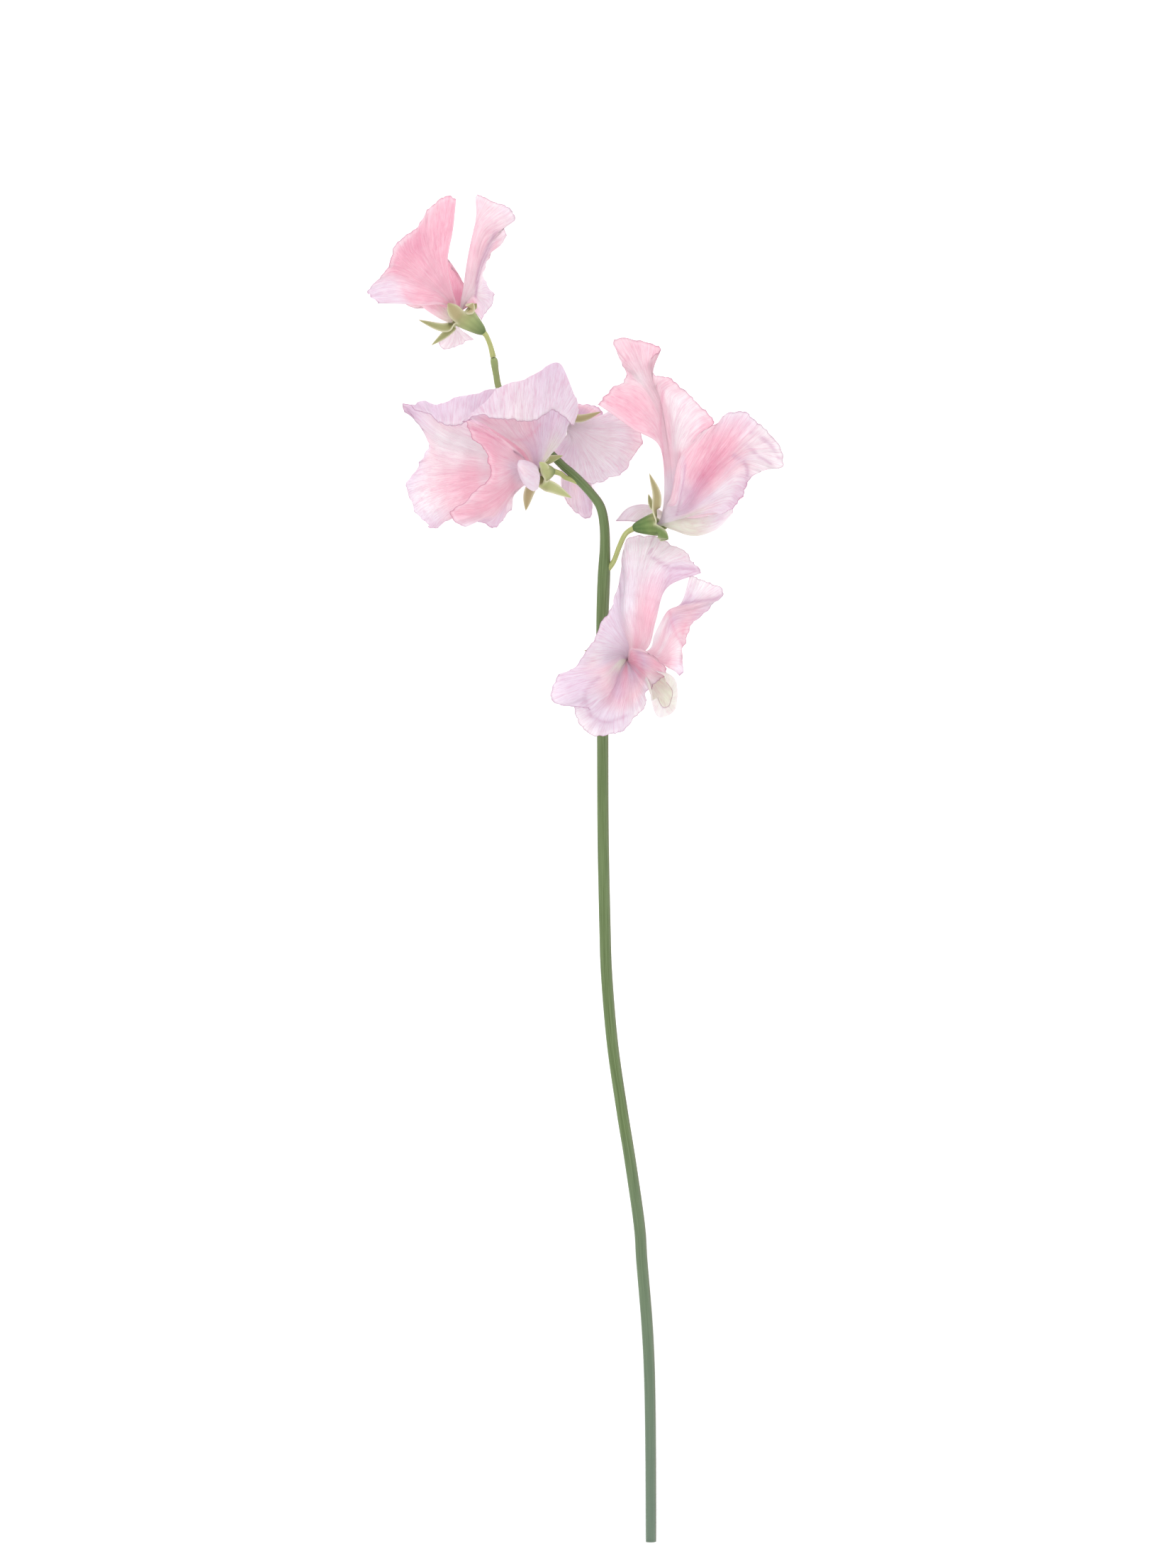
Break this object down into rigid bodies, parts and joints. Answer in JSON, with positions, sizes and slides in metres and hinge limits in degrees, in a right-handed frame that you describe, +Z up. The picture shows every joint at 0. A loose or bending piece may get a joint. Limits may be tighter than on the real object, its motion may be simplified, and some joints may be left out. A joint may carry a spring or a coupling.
{
  "type": "sweet pea flower",
  "caption": "Cut sweet pea lying on its side: ruffled pink and lilac florets with green toothed calyces, on thin stalks at the head of a long bare green stem",
  "frame": {"origin": "centre of the bounding box in X and Y, on the surface the flower lies on (Z = 0)", "axes": "+Y runs along the stem from the cut end to the flower head, +X across the head, +Z up from the surface"},
  "size_m": [0.111, 0.363, 0.0454],
  "materials": {
    "peduncle": "satin green stem skin",
    "stalk": "satin yellow-green skin",
    "calyx": "matte ribbed green leaf",
    "standard": "matte thin petal",
    "wing": "matte thin petal",
    "keel": "matte thin petal"
  },
  "bodies": {
    "root": {"peduncle": "peduncle", "top_stalk": "stalk", "top_calyx": "calyx", "top_standard": "standard", "top_wing_left": "wing", "top_wing_right": "wing", "top_keel": "keel", "left_stalk": "stalk", "left_calyx": "calyx", "left_standard": "standard", "left_wing_left": "wing", "left_wing_right": "wing", "left_keel": "keel", "right_stalk": "stalk", "right_calyx": "calyx", "right_standard": "standard", "right_wing_left": "wing", "right_wing_right": "wing", "right_keel": "keel", "lower_stalk": "stalk", "lower_calyx": "calyx", "lower_standard": "standard", "lower_wing_left": "wing", "lower_wing_right": "wing", "lower_keel": "keel", "back_stalk": "stalk", "back_calyx": "calyx", "back_standard": "standard", "back_wing_left": "wing", "back_wing_right": "wing", "back_keel": "keel"}
  },
  "joints": []
}
